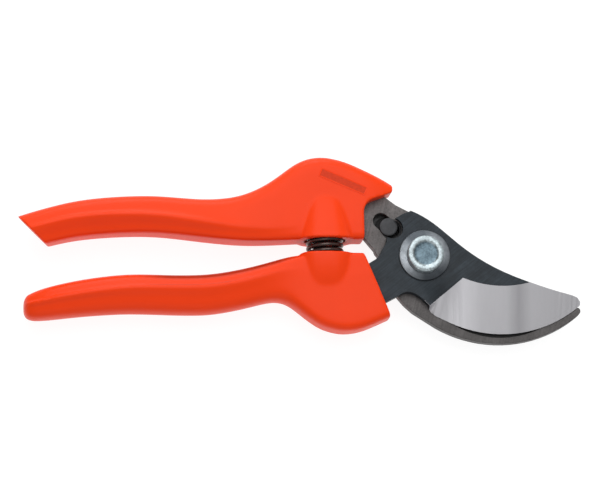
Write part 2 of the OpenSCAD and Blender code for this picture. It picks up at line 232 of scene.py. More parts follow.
def pick(piece, kind, test):
    """Selects the vertices or edges of the open piece that pass a test."""
    bpy.ops.mesh.select_mode(type={"verts": "VERT", "edges": "EDGE"}[kind])
    shape = bmesh.from_edit_mesh(piece.data)
    for item in (*shape.verts, *shape.edges, *shape.faces):
        item.select = False
    for item in getattr(shape, kind):
        if test(item):
            item.select_set(True)
    bmesh.update_edit_mesh(piece.data)


def move_each(piece, moves):
    """Moves single vertices of the open piece, given as pairs of an index and a move."""
    bpy.ops.mesh.select_mode(type="VERT")
    for index, move in moves:
        shape = bmesh.from_edit_mesh(piece.data)
        for vert in shape.verts:
            vert.select = vert.index == index
        shape.select_flush_mode()
        bpy.ops.transform.translate(value=move)


def ease(piece, test, repeat):
    """Smooths the vertices that pass a test."""
    edit(piece)
    pick(piece, "verts", test)
    bpy.ops.mesh.vertices_smooth(factor=0.5, repeat=repeat)
    leave_edit()


def middle(edge):
    """Middle of an edge."""
    return (edge.verts[0].co + edge.verts[1].co) / 2


def sharper(edge, degrees):
    """Whether an edge's two faces meet at more than an angle."""
    return len(edge.link_faces) == 2 and edge.calc_face_angle() > math.radians(degrees)


def modify(piece, kind, **values):
    """Adds a modifier, sets it and applies it."""
    select_only(piece)
    modifier = piece.modifiers.new(kind.title(), kind)
    for key, value in values.items():
        setattr(modifier, key, value)
    bpy.ops.object.modifier_apply(modifier=modifier.name)


def combine(piece, other, operation):
    """Joins another solid to the piece, or cuts it out, and removes the other."""
    modify(piece, "BOOLEAN", object=other, operation=operation, solver="EXACT")
    bpy.data.objects.remove(other)


def smooth_faces(piece, degrees):
    """Smooth shading, with the edges that are sharper than an angle kept."""
    select_only(piece)
    bpy.ops.object.shade_smooth_by_angle(angle=math.radians(degrees))


def in_mm(pairs):
    """Pairs of millimetres, in the metres of the frame."""
    return [(a * MM, b * MM) for a, b in pairs]


def trace(name, points, location=(0, 0, 0)):
    """An outline drawn point by point with vertex extrusion, left open for editing."""
    piece = new_piece(bpy.ops.mesh.primitive_plane_add, name, size=MM, location=location)
    pick(piece, "verts", lambda v: v.index != 0)
    bpy.ops.mesh.delete(type="VERT")
    pick(piece, "verts", always)
    here = bmesh.from_edit_mesh(piece.data).verts[:][0].co
    bpy.ops.transform.translate(value=Vector(points[0]) - here)
    for before, after in zip(points, points[1:]):
        bpy.ops.mesh.extrude_vertices_move(
            TRANSFORM_OT_translate={"value": Vector(after) - Vector(before)})
    return piece


def turned(name, profile, centre=(0, 0, 0), along=(0, 0, 1), steps=96):
    """A turned solid: a profile of (radius, height) pairs spun about an axis."""
    points = [Vector((r, 0, 0)) + h * Vector(along) for r, h in profile]
    piece = trace(name, points, location=centre)
    select_whole()
    bpy.ops.mesh.spin(steps=steps, angle=math.tau, center=centre, axis=along)
    select_whole()
    bpy.ops.mesh.remove_doubles(threshold=WELD)
    face_outwards()
    return done(piece)


def prism(name, outline):
    """An outline in the plan, in mm, drawn out through the whole height of the tool."""
    piece = trace(name, [(x, y, CUT_LOW) for x, y in in_mm(outline)])
    select_whole()
    bpy.ops.mesh.edge_face_add()
    draw_out((0, 0, CUT_HIGH - CUT_LOW))
    face_outwards()
    return done(piece)


def arc(centre, radius, start, end, steps):
    """Points along an arc in the plan, angles in degrees."""
    angles = [math.radians(start + (end - start) * i / steps) for i in range(steps + 1)]
    return [(centre[0] + radius * math.cos(a), centre[1] + radius * math.sin(a))
            for a in angles]


# --- Handles --------------------------------------------------

# Rows along each handle, in mm: place, lowest, highest, half thickness at the
# ridge, depth of the top and bottom rounding, height of the ridge above the
# lowest edge, and how far the upper and lower flanks fall back from the ridge
UPPER_ROWS = [
    (-8.5, 5.6, 23.9, 4.4, 3, 2, 5, 0.3, 0.1),
    (-10.6, 5.6, 25.7, 4.7, 3.2, 2, 5, 0.3, 0.1),
    (-15, 5.6, 28.4, 5.6, 3.6, 2, 5, 0.4, 0.1),
    (-21, 5.6, 31.4, 6.3, 4, 2, 5, 0.5, 0.1),
    (-27, 5.6, 34.1, 6.3, 4.2, 2, 5, 0.5, 0.1),
    (-32, 5.6, 35.5, 6.3, 4.4, 2, 5, 0.5, 0.1),
    (-36, 5.6, 35.95, 6.3, 4.4, 2, 5, 0.5, 0.1),
    (-40.5, 5.6, 35.4, 6.3, 4.4, 2, 5, 0.5, 0.15),
    (-46, 5.4, 33, 6.4, 4.6, 2, 4.6, 0.6, 0.3),
    (-55, 5, 26.5, 6.9, 4.8, 2, 4.2, 0.8, 0.6),
    (-65.7, 5, 21.8, 7.4, 5.2, 2, 4.4, 1.1, 1),
    (-79, 6.2, 20.6, 8, 5.6, 2.2, 5, 1.3, 1.5),
    (-95.9, 7.9, 21.8, 8, 5.6, 2.4, 5.6, 1.2, 2),
    (-113.7, 7.4, 21.1, 8, 5.6, 2.4, 6.2, 1.2, 2.2),
    (-127.9, 5.5, 18.9, 7.9, 5.2, 2.4, 6.4, 1.1, 2.2),
    (-143.9, 1.2, 14.3, 7.6, 5, 2.4, 6.2, 1, 2),
    (-148.3, -0.2, 12.3, 7.4, 5, 2.4, 6, 1, 2),
]
LOWER_ROWS = [
    (-11, -21.5, 1, 5.7, 1.2, 2.2, 15, 0.1, 0.3),
    (-15, -23.2, 1, 6.1, 1.2, 2.4, 16, 0.1, 0.3),
    (-19, -25, 1, 6.3, 1.2, 2.5, 17, 0.1, 0.4),
    (-23.4, -26.6, 1, 6.3, 1.2, 2.6, 18, 0.1, 0.4),
    (-28, -27.3, 1, 6.3, 1.2, 2.6, 18, 0.1, 0.4),
    (-32.5, -26.9, 0.9, 6.3, 1.2, 2.6, 18, 0.1, 0.4),
    (-38, -25, 0.7, 6.3, 1.4, 2.8, 17, 0.1, 0.5),
    (-43.5, -21.2, 0.3, 6.4, 1.8, 3.4, 14.5, 0.15, 0.6),
    (-49, -17.2, -0.5, 6.7, 2.6, 4, 11, 0.3, 0.8),
    (-55, -16.3, -2.1, 7, 3.2, 4.2, 9, 0.6, 1),
    (-64.6, -18.6, -4.6, 7.5, 3.4, 4.6, 8.4, 0.8, 1.2),
    (-76.9, -20.8, -6.7, 8, 3.4, 5, 8.4, 0.9, 1.4),
    (-90, -20.9, -7, 8, 3.4, 5, 8.2, 0.9, 1.5),
    (-105.7, -20.5, -6.7, 8, 3.8, 5, 7.8, 1, 1.5),
    (-121.4, -21.4, -8.5, 8, 4.4, 4.8, 6.9, 1, 1.5),
    (-133.7, -22.6, -11.2, 7.7, 4.2, 4.2, 5.9, 1, 1.3),
    (-139.3, -22.8, -13.2, 6.6, 3.8, 3.8, 5, 0.9, 1),
    (-141.5, -21.8, -14.5, 5.1, 3, 3, 3.9, 0.7, 0.7),
    (-142.35, -20.2, -16.4, 2.6, 1.6, 1.6, 2, 0.3, 0.3),
]


def smoothed(rows):
    """The rows, with one on a smooth curve through its neighbours between each two."""
    padded = [rows[0], *rows, rows[-1]]
    out = [rows[0]]
    for four in zip(padded, padded[1:], padded[2:], padded[3:]):
        out += [[(9 * (b + c) - a - d) / 16 for a, b, c, d in zip(*four)], four[2]]
    return out


def half_section(row):
    """Points of one side of the handle, from the top down; the height z is over the middle."""
    x, low, high, half, top, bottom, ridge, up, down = row
    ridge_y = low + ridge
    upper, lower = half - up, half - down
    points = [(high, 0), (high - 0.04 * top, 0.36 * upper), (high - 0.16 * top, 0.64 * upper),
              (high - 0.45 * top, 0.87 * upper), (high - top, upper)]
    for share in (0.33, 0.66):
        points.append((high - top + share * (ridge_y - high + top),
                       upper + share * (half - upper)))
    points += [(ridge_y + 0.8, half - 0.02), (ridge_y - 0.4, half - 0.08)]
    y, z = low + bottom, lower
    points.append(((ridge_y - 0.4 + y) / 2, (half + z) / 2 - 0.05))
    points += [(y, z), (low + 0.42 * bottom, z - 0.16 * bottom),
               (low + 0.08 * bottom, z - 0.6 * bottom), (low, z - 1.3 * bottom), (low, 0)]
    return [Vector((x, y, z)) * MM for y, z in points]


def settled(net):
    """Control points whose smooth surface passes close to the wanted points."""
    rows, columns = len(net), len(net[0])

    def at(points, i, j):
        i = min(max(i, 0), rows - 1)
        if 0 <= j < columns:
            return points[i][j]
        mirrored = points[i][-j if j < 0 else 2 * columns - 2 - j]
        return Vector((mirrored.x, mirrored.y, -mirrored.z))

    wanted, points = net, net
    for _ in range(2):
        limit = [[(at(points, i - 1, j) + at(points, i + 1, j) + at(points, i, j - 1)
                   + at(points, i, j + 1) + 8 * at(points, i, j)) / 12
                  for j in range(columns)] for i in range(rows)]
        points = [[points[i][j] + wanted[i][j] - limit[i][j] for j in range(columns)]
                  for i in range(rows)]
    return points


def handle_body(name, rows):
    """One side of the handle pulled from a grid, mirrored, closed and smoothed."""
    net = settled([half_section(row) for row in smoothed(rows)])
    piece = new_piece(bpy.ops.mesh.primitive_grid_add, name, size=MM,
                      x_subdivisions=len(net) - 1, y_subdivisions=len(net[0]) - 1,
                      location=(0, 0, MID_Z))
    order = sorted(bmesh.from_edit_mesh(piece.data).verts,
                   key=lambda v: (-round(v.co.x / MM, 4), -round(v.co.y / MM, 4)))
    goals = [point for section in net for point in section]
    move_each(piece, [(v.index, goal - v.co) for v, goal in zip(order, goals)])
    modify(piece, "MIRROR", use_axis=(False, False, True), merge_threshold=0.01 * MM)
    for end in (max, min):
        edit(piece)
        place = end(v.co.x for v in bmesh.from_edit_mesh(piece.data).verts)
        pick(piece, "edges", lambda e: e.is_boundary and abs(middle(e).x - place) < 0.02 * MM)
        bpy.ops.mesh.edge_face_add()
    face_outwards()
    done(piece)
    modify(piece, "SUBSURF", levels=2, render_levels=2)
    return piece


def squared(value):
    """A sine or cosine pushed outwards, so that a circle becomes a rounded square."""
    return math.copysign(abs(value) ** (2 / 3), value)


def bell(lip, tip, half_width, half_depth, fullness=1):
    """The swelling around a spring pocket: a rounded section drawn out and tapered to its tip."""
    centre = Vector((SPRING_X, lip, MID_Z))
    piece = new_piece(bpy.ops.mesh.primitive_circle_add, "bell", vertices=48, radius=1,
                      fill_type="NGON", location=centre, rotation=(math.radians(90), 0, 0))
    done(piece)
    edit(piece)
    moves = []
    for vert in bmesh.from_edit_mesh(piece.data).verts:
        flat = vert.co - centre
        angle = math.atan2(flat.z, flat.x)
        goal = centre + Vector((half_width * squared(math.cos(angle)), 0,
                                half_depth * squared(math.sin(angle))))
        moves.append((vert.index, goal - vert.co))
    move_each(piece, moves)
    select_whole()
    size, steps, taper, shoulder = 1.0, 10, 0.37, 0.09
    for step in range(1, steps + 1):
        share = step / steps
        goal = 1 - taper * share ** fullness - shoulder * share ** 6
        draw_out((0, (tip - lip) / steps, 0))
        bpy.ops.transform.resize(value=(goal / size, 1, goal / size),
                                 center_override=(SPRING_X, 0, MID_Z))
        size = goal
    face_outwards()
    return done(piece)


def pocket_cutter(lip, seat, way):
    """What is cut away around the spring, with its locating peg left standing."""
    room = handles().pocket_room
    outer, peg = SPRING_OUTER + room, SPRING_OUTER - 2 * WIRE_RADIUS - room
    past, floor, chamfer = 3 * MM, -abs(seat - lip), 0.8 * MM
    peg_top = floor + 5.6 * MM
    profile = [(0, past), (outer, past), (outer, floor), (peg, floor), (peg, peg_top - chamfer),
               (peg - chamfer, peg_top), (0, peg_top)]
    return turned("pocket", [(r, -way * h) for r, h in profile], (SPRING_X, lip, SPRING_Z),
                  along=(0, 1, 0), steps=64)


def slanted_end():
    """What is cut away past the upper handle's slanted end, which leans as it rises."""
    slant, low_end, past = Vector((0.70, -0.714)), Vector((-144.4, 13)), Vector((-30, -30))
    start, stop = low_end - 20 * slant, low_end + 40 * slant
    cutter = prism("end", [start, stop, stop + past, start + past])
    inwards = Vector((-slant.y, slant.x, 0)) * MM
    edit(cutter)
    for side, lean in ((-1, 7.2), (1, -6.2)):
        pick(cutter, "verts", lambda v: (v.co.z - MID_Z) * side > 0)
        bpy.ops.transform.translate(value=lean * inwards)
    return done(cutter)


def remeshed(piece):
    """An even skin over the joined solid, as a moulding has, with its edges eased."""
    modify(piece, "REMESH", mode="VOXEL", voxel_size=handles().grain,
           adaptivity=0, use_smooth_shade=True)
    ease(piece, always, 2)


def ease_crease(piece, low, high, repeat):
    """Smooths the crease around a bell, between two places in mm down the spring's axis."""
    def crease(v):
        across, out = abs(v.co.x - SPRING_X) / MM, abs(v.co.z - MID_Z) / MM
        return across < 11 and low < v.co.y / MM < high and 5.6 < out < 8.2
    ease(piece, crease, repeat)


def ramp(value, start, width):
    """A share that climbs from 0 at the start to 1 once the width is crossed."""
    return min(max((value - start) / width, 0), 1)


def paint_strip_shade(piece):
    """Marks the strip along the lower grip's upper face that takes a painted shade."""
    strip = piece.data.attributes.new("deepened", "FLOAT", "POINT")
    for vert, mark in zip(piece.data.vertices, strip.data):
        x, out = vert.co.x / MM, (vert.co.z - MID_Z) / MM
        # Painted shade: weight for darkening the faces turned towards the upper handle
        along = ramp(x, -104, 12) * ramp(-x, 44, 8)
        mark.value = along * ramp(vert.normal.y, 0.42, 0.2) * ramp(out, 0, 2)


def finish_handle(piece, body, node):
    """Gives a handle its plastic and ties it to its body."""
    piece.data.materials.clear()
    piece.data.materials.append(moulded_plastic())
    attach(piece, body)
    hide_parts(node)


class PRUNER_OT_upper_handle(bpy.types.Operator):
    """Model the upper handle with its nose, slanted end, spring pocket and bell"""

    bl_idname = "pruner.upper_handle"
    bl_label = "Upper Handle"

    def execute(self, context):
        lip = 5.6 * MM
        body = handle_body("upper_grip", UPPER_ROWS)
        combine(body, bell(lip, 23.4 * MM, 10.0 * MM, 9.6 * MM), "UNION")
        wall, bend, brow = -21.5, 5.4, 15.2
        nose = [(0, -30), (wall, -30)] + arc((wall + bend, brow), bend, 180, 108, 12)
        nose += [(-12.2, 22.3), (-11, 22.8), (-10.4, 27), (0, 27)]
        for cutter in (prism("front", nose), slanted_end(),
                       pocket_cutter(lip, SPRING_HIGH.y, 1)):
            combine(body, cutter, "DIFFERENCE")
        remeshed(body)
        ease_crease(body, 8, 25, repeat=8)
        finish_handle(body, "upper", "upper_handle")
        return {"FINISHED"}


class PRUNER_OT_lower_handle(bpy.types.Operator):
    """Model the lower handle with its rounded end, spring pocket and faint bell"""

    bl_idname = "pruner.lower_handle"
    bl_label = "Lower Handle"

    def execute(self, context):
        lip = 0.8 * MM
        body = handle_body("lower_grip", LOWER_ROWS)
        combine(body, bell(lip, -14.5 * MM, 9.4 * MM, 8.2 * MM, fullness=2), "UNION")
        facing, reach = math.radians(202), 20.1
        normal = Vector((math.cos(facing), math.sin(facing)))
        along = Vector((-normal.y, normal.x))
        start, stop = reach * normal - 13 * along, reach * normal + 25 * along
        front = [start, stop, stop + Vector((0, -20)), Vector((20, -40)), Vector((20, 20))]
        for cutter in (prism("front", front), pocket_cutter(lip, SPRING_LOW.y, -1)):
            combine(body, cutter, "DIFFERENCE")
        remeshed(body)
        ease_crease(body, -16, -2, repeat=12)
        paint_strip_shade(body)
        finish_handle(body, "lower", "lower_handle")
        return {"FINISHED"}


# --- Plates, pivot, spring and catch --------------------------


def copied(node, name):
    """A copy of a CAD node with its triangles joined up and its flat faces made whole."""
    piece = bpy.data.objects.new(name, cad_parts[node].data.copy())
    piece.data.name = name
    piece.data.materials.clear()
    bpy.context.scene.collection.objects.link(piece)
    edit(piece)
    select_whole()
    bpy.ops.mesh.remove_doubles(threshold=WELD)
    select_whole()
    bpy.ops.mesh.dissolve_limited(angle_limit=math.radians(0.5))
    leave_edit()
    return piece


def ease_edges(piece, width, sharp=40, worn=0, test=always):
    """Rounds the sharp edges; the new faces take the material with the index worn."""
    edit(piece)
    pick(piece, "edges", lambda e: sharper(e, sharp) and test(middle(e)))
    bpy.ops.mesh.bevel(offset=width, segments=2, clamp_overlap=True, material=worn,
                       affect="EDGES")
    leave_edit()


def round_tip(piece, past):
    """Rounds the upright corners of a blade's tip."""
    edit(piece)

    def upright(e):
        a, b = (v.co for v in e.verts)
        return (middle(e).x > past and abs(a.z - b.z) > 0.9 * (a - b).length
                and sharper(e, 12))
    pick(piece, "edges", upright)
    bpy.ops.mesh.bevel(offset=1.1 * MM, segments=4, clamp_overlap=True, affect="EDGES")
    select_whole()
    bpy.ops.mesh.dissolve_degenerate(threshold=WELD)


def finish_piece(piece, body, slot, *materials, node=None, angle=30):
    """Shades a piece, gives it its materials, ties it to its body and hides its CAD node."""
    smooth_faces(piece, angle)
    for material in materials:
        piece.data.materials.append(material)
    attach(piece, body)
    if node:
        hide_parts(node)


def paint_faces(piece, index, test):
    """Gives the faces that pass a test the material with that index."""
    for face in piece.data.polygons:
        if test(face):
            face.material_index = index


class PRUNER_OT_cutting_blade(bpy.types.Operator):
    """Model the cutting blade with eased edges and a ground bevel"""

    bl_idname = "pruner.cutting_blade"
    bl_label = "Cutting Blade"

    def execute(self, context):
        piece = copied("cutting_blade", "cutting_blade_ground")
        low, top = lowest("cutting_blade", Z), highest("cutting_blade", Z)
        round_tip(piece, 50 * MM)
        ease_edges(piece, steel().edge_round, sharp=35, worn=2,
                   test=lambda p: p.z > low + 0.6 * (top - low) or p.x < 0)
        paint_faces(piece, 1, lambda f: 0.2 < f.normal.z < 0.9992 and f.center.x > 0
                    and f.material_index == 0)
        finish_piece(piece, "lower", "blade_steel", dark_coating(), ground_steel(), worn_edge(),
                     node="cutting_blade", angle=16)
        return {"FINISHED"}


class PRUNER_OT_counter_blade(bpy.types.Operator):
    """Model the hooked counter-blade with its sap groove and slot"""

    bl_idname = "pruner.counter_blade"
    bl_label = "Counter-Blade"

    def execute(self, context):
        piece = copied("counter_blade", "counter_blade_plate")
        round_tip(piece, 52 * MM)
        ease_edges(piece, steel().edge_round, sharp=35, worn=2)
        groove = MID_Z - 0.2 * MM
        # Painted shade: the sap groove's faces take the near-black finish
        paint_faces(piece, 1, lambda f: f.center.z < groove and f.normal.z > 0.5
                    and f.center.x > 4 * MM)
        finish_piece(piece, "upper", "counter_steel", plate_steel(), groove_black(),
                     worn_plate(), node="counter_blade", angle=7)
        return {"FINISHED"}


class PRUNER_OT_pivot(bpy.types.Operator):
    """Model the pivot bolt with its dished head, and the turned washer under it"""

    bl_idname = "pruner.pivot"
    bl_label = "Pivot Bolt and Washer"

    def execute(self, context):
        top, head_r = highest("pivot_bolt", Z) / MM, highest("pivot_bolt", X) / MM
        low, under = lowest("head_washer", Z) / MM, highest("head_washer", Z) / MM
        rim, bore = highest("head_washer", X) / MM, 4.05
        shank, thread, thread_top = 4, 3.8, highest("split_washer", Z) / MM
        profile = [(0, 0), (3.2, 0), (thread, 0.6), (thread, thread_top), (shank, thread_top),
                   (shank, under), (head_r - 0.15, under), (head_r, under + 0.15)]
        profile += [(head_r - inwards, top - down) for inwards, down in (
            (0, 0.7), (0.06, 0.42), (0.2, 0.2), (0.5, 0.05), (1.2, 0), (1.75, 0.02),
            (2.05, 0.12), (2.3, 0.34), (2.6, 0.46), (3.6, 0.5), (head_r, 0.52))]
        bolt = turned("pivot_bolt_head", in_mm(profile))
        finish_piece(bolt, "upper", "zinc_steel", zinc(), node="pivot_bolt", angle=40)
        profile = [(bore, low), (rim - 0.2, low), (rim, low + 0.2), (rim, under - 0.42),
                   (rim - 0.12, under - 0.16), (rim - 0.4, under), (bore, under), (bore, low)]
        washer = turned("pivot_washer_turned", in_mm(profile))
        finish_piece(washer, "upper", "turned_steel", lathe_turned(), node="head_washer")
        return {"FINISHED"}


class PRUNER_OT_back_hardware(bpy.types.Operator):
    """Model the nut, the split washer and the flat washer on the back"""

    bl_idname = "pruner.back_hardware"
    bl_label = "Nut and Back Washers"

    def execute(self, context):
        for node, name, width in (("pivot_nut", "pivot_nut_hex", 0.25),
                                  ("back_washer", "back_washer_flat", 0.15),
                                  ("split_washer", "split_washer_coil", 0.2)):
            piece = copied(node, name)
            ease_edges(piece, width * MM)
            finish_piece(piece, "upper", "zinc_steel", zinc_plain(), node=node)
        return {"FINISHED"}


class PRUNER_OT_return_spring(bpy.types.Operator):
    """Wind the return spring, with its end coils closed up"""

    bl_idname = "pruner.return_spring"
    bl_label = "Return Spring"

    def execute(self, context):
        turns, section, steps = 9, 12, 48
        low, high = SPRING_LOW.y + WIRE_RADIUS, SPRING_HIGH.y - WIRE_RADIUS
        pitch, closed = (high - low) / turns, 2.08 * WIRE_RADIUS
        open_pitch = (high - low - 2 * closed) / (turns - 2)
        piece = new_piece(bpy.ops.mesh.primitive_circle_add, "coil_spring", vertices=section,
                          radius=WIRE_RADIUS, location=(SPRING_X, low, SPRING_Z))
        bpy.ops.transform.translate(value=(SPRING_OUTER - WIRE_RADIUS, 0, 0))
        modify(piece, "SCREW", axis="Y", angle=math.tau, iterations=turns, steps=steps,
               render_steps=steps, screw_offset=pitch, use_merge_vertices=False,
               use_smooth_shade=True)
        done(piece)
        edit(piece)
        first_open, last_open, rings = steps + 1, (turns - 1) * steps, turns * steps + 1
        stretches = ((0, first_open, closed, low), (last_open, rings, closed, high),
                     (first_open, last_open, open_pitch, (low + high) / 2))
        for first, last, wanted, place in stretches:
            pick(piece, "verts", lambda v: first <= v.index // section < last)
            bpy.ops.transform.resize(value=(1, wanted / pitch, 1),
                                     center_override=(SPRING_X, place, SPRING_Z))
        pick(piece, "edges", lambda e: e.is_boundary)
        bpy.ops.mesh.edge_face_add()
        face_outwards()
        smooth_faces(piece, 60)
        piece.data.materials.append(spring_wire())
        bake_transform(piece)
        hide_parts("return_spring")
        return {"FINISHED"}


class PRUNER_OT_catch(bpy.types.Operator):
    """Model the catch: its pin, the thumb button on the back and the washer between"""

    bl_idname = "pruner.catch"
    bl_label = "Catch"

    def execute(self, context):
        low, top = PIN_LOW.z / MM, PIN_HIGH.z / MM
        radius, shank, collar = (PIN_HIGH.x - PIN_LOW.x) / 2 / MM, 1.9, 2.5
        seat, under = MID_Z / MM + 0.05, highest("catch_button", Z) / MM
        profile = [(0, low), (shank, low), (shank, under), (collar, under), (collar, seat),
                   (radius, seat), (radius, top - 0.28), (radius - 0.1, top - 0.1),
                   (radius - 0.35, top - 0.02), (radius - 0.8, top), (0, top)]
        pin = turned("catch_pin_round", in_mm(profile), (PIN_X, PIN_Y, 0), steps=64)
        finish_piece(pin, "catch", "pin_steel", pin_black(), node="catch_pin", angle=40)
        button = copied("catch_button", "catch_button_ribbed")
        ease_edges(button, 0.3 * MM)
        finish_piece(button, "catch", "black_plastic", button_plastic(),
                     node="catch_button")
        washer = copied("catch_washer", "catch_washer_thin")
        # The catch's washer takes the same near-black finish as the painted shade in the groove
        finish_piece(washer, "catch", "zinc_steel", groove_black(), node="catch_washer")
        return {"FINISHED"}


class PRUNER_OT_badge(bpy.types.Operator):
    """Lay a plain embossed panel on the upper handle"""

    bl_idname = "pruner.badge"
    bl_label = "Plain Panel"

    def execute(self, context):
        length, height, rim, depth = 17.6 * MM, 3.1 * MM, 0.34 * MM, 0.2 * MM
        centre, tilt = Vector((-28.7 * MM, 26.2 * MM, MID_Z + 12 * MM)), math.radians(-23.5)
        piece = new_piece(bpy.ops.mesh.primitive_grid_add, "plain_panel", size=1,
                          x_subdivisions=36, y_subdivisions=8, location=centre)
        bpy.ops.transform.resize(value=(length, height, 1))
        bpy.ops.transform.rotate(value=-tilt, orient_axis="Z", center_override=centre)
        modify(piece, "SHRINKWRAP", target=bpy.data.objects["upper_grip"],
               wrap_method="PROJECT", use_project_z=True, use_negative_direction=True,
               use_positive_direction=False, offset=-0.05 * MM)
        edit(piece)
        select_whole()
        draw_out((0, 0, depth))
        bpy.ops.mesh.inset(thickness=rim, depth=0)
        bpy.ops.transform.translate(value=(0, 0, -0.6 * depth))
        for face in bmesh.from_edit_mesh(piece.data).faces:
            face.material_index = 1 if face.select else 0
        bmesh.update_edit_mesh(piece.data)
        face_outwards()
        done(piece)
        finish_piece(piece, "upper", "handle_plastic", moulded_plastic(), etched_plastic())
        return {"FINISHED"}


# --- Finishes -------------------------------------------------


def add(tree, kind, ins=None, **props):
    """Adds a node, sets its properties, and fills or links its inputs."""
    node = tree.nodes.new(kind)
    for key, value in props.items():
        setattr(node, key, value)
    for key, value in (ins or {}).items():
        if isinstance(value, bpy.types.NodeSocket):
            tree.links.new(value, node.inputs[key])
        else:
            node.inputs[key].default_value = value
    return node


def shared_group(name, ins, outs, build):
    """A shader node group with named sockets, built once."""
    found = bpy.data.node_groups.get(name)
    if found:
        return found
    group = bpy.data.node_groups.new(name, "ShaderNodeTree")
    for way, labels in (("INPUT", ins), ("OUTPUT", outs)):
        for label in labels:
            group.interface.new_socket(label, in_out=way, socket_type="NodeSocketFloat")
    start = group.nodes.new("NodeGroupInput").outputs
    end = group.nodes.new("NodeGroupOutput").inputs
    for label, socket in build(group, start).items():
        group.links.new(socket, end[label])
    return group


def maths(tree, operation, a, b=0.0):
    """The result of a Math node."""
    return add(tree, "ShaderNodeMath", {0: a, 1: b}, operation=operation).outputs[0]


def vectors(tree, operation, *ins):
    """The outputs of a Vector Math node."""
    return add(tree, "ShaderNodeVectorMath", dict(enumerate(ins)), operation=operation).outputs


def spot(tree):
    """The place on the tool, in metres."""
    return add(tree, "ShaderNodeTexCoord").outputs["Object"]


def noise(tree, place, scale, detail, rough=0.5):
    """The value of a noise texture."""
    return add(tree, "ShaderNodeTexNoise", {
        "Vector": place, "Scale": scale, "Detail": detail, "Roughness": rough}).outputs["Fac"]


def mottle():
    """Cloudy variation and fine grain, both around a half."""
    def build(tree, start):
        place = spot(tree)
        return {"Clouds": noise(tree, place, start["Cloud Scale"], 4.0, 0.6),
                "Grain": noise(tree, place, start["Grain Scale"], 2.0, 0.7)}
    return shared_group("mottle", ["Cloud Scale", "Grain Scale"], ["Clouds", "Grain"], build)


def brushing():
    """Fine lines left by a brush or a grinding belt, turned in the plan."""
    def build(tree, start):
        turn = add(tree, "ShaderNodeCombineXYZ", {"Z": start["Turn"]}).outputs[0]
        place = add(tree, "ShaderNodeVectorRotate", {"Vector": spot(tree), "Rotation": turn},
                    rotation_type="EULER_XYZ").outputs[0]
        stretched = vectors(tree, "MULTIPLY", place, (1.0, 0.04, 1.0))[0]
        return {"Lines": noise(tree, stretched, start["Scale"], 3.0, 0.65)}
    return shared_group("brushing", ["Scale", "Turn"], ["Lines"], build)


def from_axis():
    """Distance from the pivot axis in mm, the rings of a lathe, and how far across it is."""
    def build(tree, start):
        flat = vectors(tree, "MULTIPLY", spot(tree), (1 / MM, 1 / MM, 0.0))[0]
        radius = vectors(tree, "LENGTH", flat)["Value"]
        ring = add(tree, "ShaderNodeCombineXYZ", {"X": radius}).outputs[0]
        way = vectors(tree, "NORMALIZE", flat)[0]
        across = vectors(tree, "DOT_PRODUCT", way, (0.94, 0.34, 0.0))["Value"]
        return {"Radius": radius, "Rings": noise(tree, ring, start["Ring Scale"], 2.0),
                "Sideways": maths(tree, "ABSOLUTE", across)}
    return shared_group("from_axis", ["Ring Scale"], ["Radius", "Rings", "Sideways"], build)


def use(tree, group, **values):
    """The outputs of a group node with its inputs set."""
    node = add(tree, "ShaderNodeGroup", node_tree=group)
    for key, value in values.items():
        node.inputs[key.replace("_", " ")].default_value = value
    return node.outputs


def blend(tree, factor, a, b):
    """A mix of two colours."""
    node = add(tree, "ShaderNodeMix", data_type="RGBA")
    sockets = [s for s in node.inputs if s.enabled]
    for socket, value in zip(sockets, (factor, a, b)):
        if isinstance(value, bpy.types.NodeSocket):
            tree.links.new(value, socket)
        else:
            socket.default_value = (*value, 1)
    return next(s for s in node.outputs if s.enabled)


def spread(tree, value, low, high, to_low=0.0, to_high=1.0):
    """A value mapped from one range to another, clamped."""
    return add(tree, "ShaderNodeMapRange", {
        "Value": value, "From Min": low, "From Max": high,
        "To Min": to_low, "To Max": to_high}).outputs[0]


def bump(tree, shader, height, strength, distance):
    """Feeds a height to the shader's normal."""
    node = add(tree, "ShaderNodeBump",
               {"Height": height, "Strength": strength, "Distance": distance})
    tree.links.new(node.outputs["Normal"], shader.inputs["Normal"])


def finish(name, **constants):
    """A new material, its node tree, and its shader with the constants set."""
    material = bpy.data.materials.new(name)
    material.use_nodes = True
    tree = material.node_tree
    shader = tree.nodes["Principled BSDF"]
    for key, value in constants.items():
        shader.inputs[key.replace("_", " ")].default_value = value
    return material, tree, shader


def dress(tree, shader, colour, grain, smoothest, roughest):
    """Feeds the shader its colour, and a roughness that follows the grain."""
    tree.links.new(colour, shader.inputs["Base Color"])
    tree.links.new(spread(tree, grain, 0.3, 0.7, smoothest, roughest),
                   shader.inputs["Roughness"])


def clouded(name, clouds, grain, colours, rough, patches=(0, 1), relief=None, **constants):
    """A material of cloudy colour and grainy roughness, pebbled if it has a relief."""
    material, tree, shader = finish(name, **constants)
    look = use(tree, mottle(), Cloud_Scale=clouds, Grain_Scale=grain)
    share = spread(tree, look["Clouds"], *patches)
    dress(tree, shader, blend(tree, share, *colours), look["Grain"], *rough)
    if relief:
        bump(tree, shader, look["Grain"], *relief)
    return material


def shades(colour, *steps):
    """Lighter and darker versions of a colour."""
    return [tuple(min(c * step, 1.0) for c in colour) for step in steps]


# Each finish is made once and kept, so that its pieces share it


@cache
def moulded_plastic():
    """The handles' glossy plastic, faintly clouded, with a fine skin and a painted shade on the
    lower grip's marked strip.
    """
    material, tree, shader = finish("moulded_plastic", Specular_IOR_Level=0.13)
    look = use(tree, mottle(), Cloud_Scale=55, Grain_Scale=1800)
    dark, light, shade_colour = shades(handles().plastic, 0.94, 1.04, 0.5)
    strip = add(tree, "ShaderNodeAttribute", attribute_name="deepened").outputs["Fac"]
    plain = blend(tree, look["Clouds"], dark, light)
    # Painted shade: the marked strip takes a darker copy of the plastic
    dress(tree, shader, blend(tree, strip, plain, shade_colour), look["Grain"], 0.30, 0.42)
    bump(tree, shader, look["Grain"], 0.12, 0.05 * MM)
    return material


